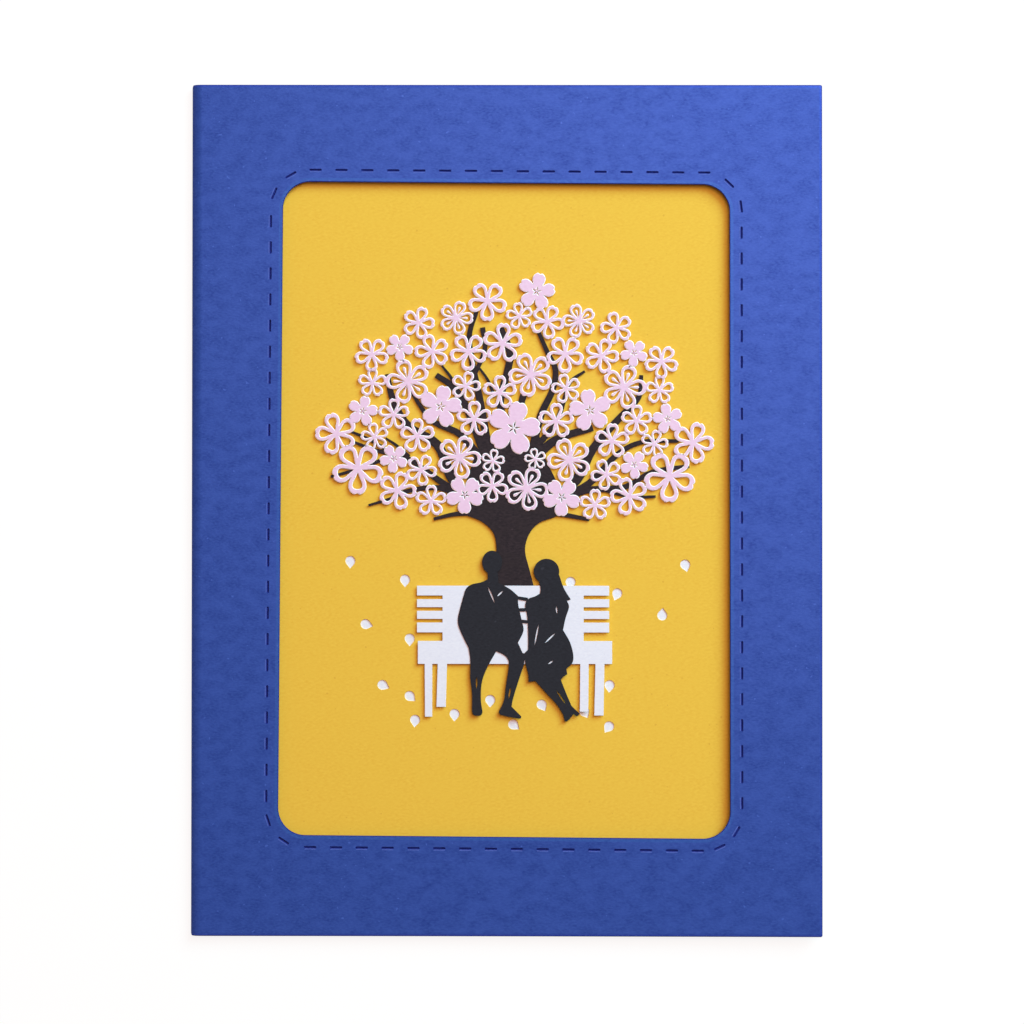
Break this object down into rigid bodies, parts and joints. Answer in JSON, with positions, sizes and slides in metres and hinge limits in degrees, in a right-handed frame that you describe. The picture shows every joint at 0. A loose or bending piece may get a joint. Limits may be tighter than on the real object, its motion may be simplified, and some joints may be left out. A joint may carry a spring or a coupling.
{
  "type": "pop up card",
  "caption": "Folded greeting card with a round-cornered window in its front and a paper-cut tree, bench and couple standing off the page behind it.",
  "frame": {"origin": "middle of the back cover's underside, on the surface that the card lies on", "axes": "+X across the card away from the fold, +Y up the card, +Z out of its front"},
  "size_m": [0.148, 0.2, 0.0027],
  "materials": {
    "cover_card": "matt coloured card",
    "white_paper": "matt",
    "yellow_paper": "matt",
    "dark_paper": "matt",
    "pink_paper": "matt",
    "black_paper": "matt",
    "strip_paper": "matt"
  },
  "bodies": {
    "card": {"back_cover": "cover_card", "backing_sheet": "white_paper", "page": "yellow_paper", "tree": "dark_paper", "blossom": "pink_paper", "bench": "white_paper", "couple": "black_paper", "tree_strip": "strip_paper", "bench_strip_left": "strip_paper", "bench_strip_right": "strip_paper"},
    "front": {"front_cover": "cover_card"}
  },
  "joints": [
    {"name": "cover_open", "type": "hinge", "parent": "card", "child": "front", "pos_m": [-0.074, 0, 0.0027], "axis": [0, -1, 0], "range_deg": [0, 180]}
  ]
}
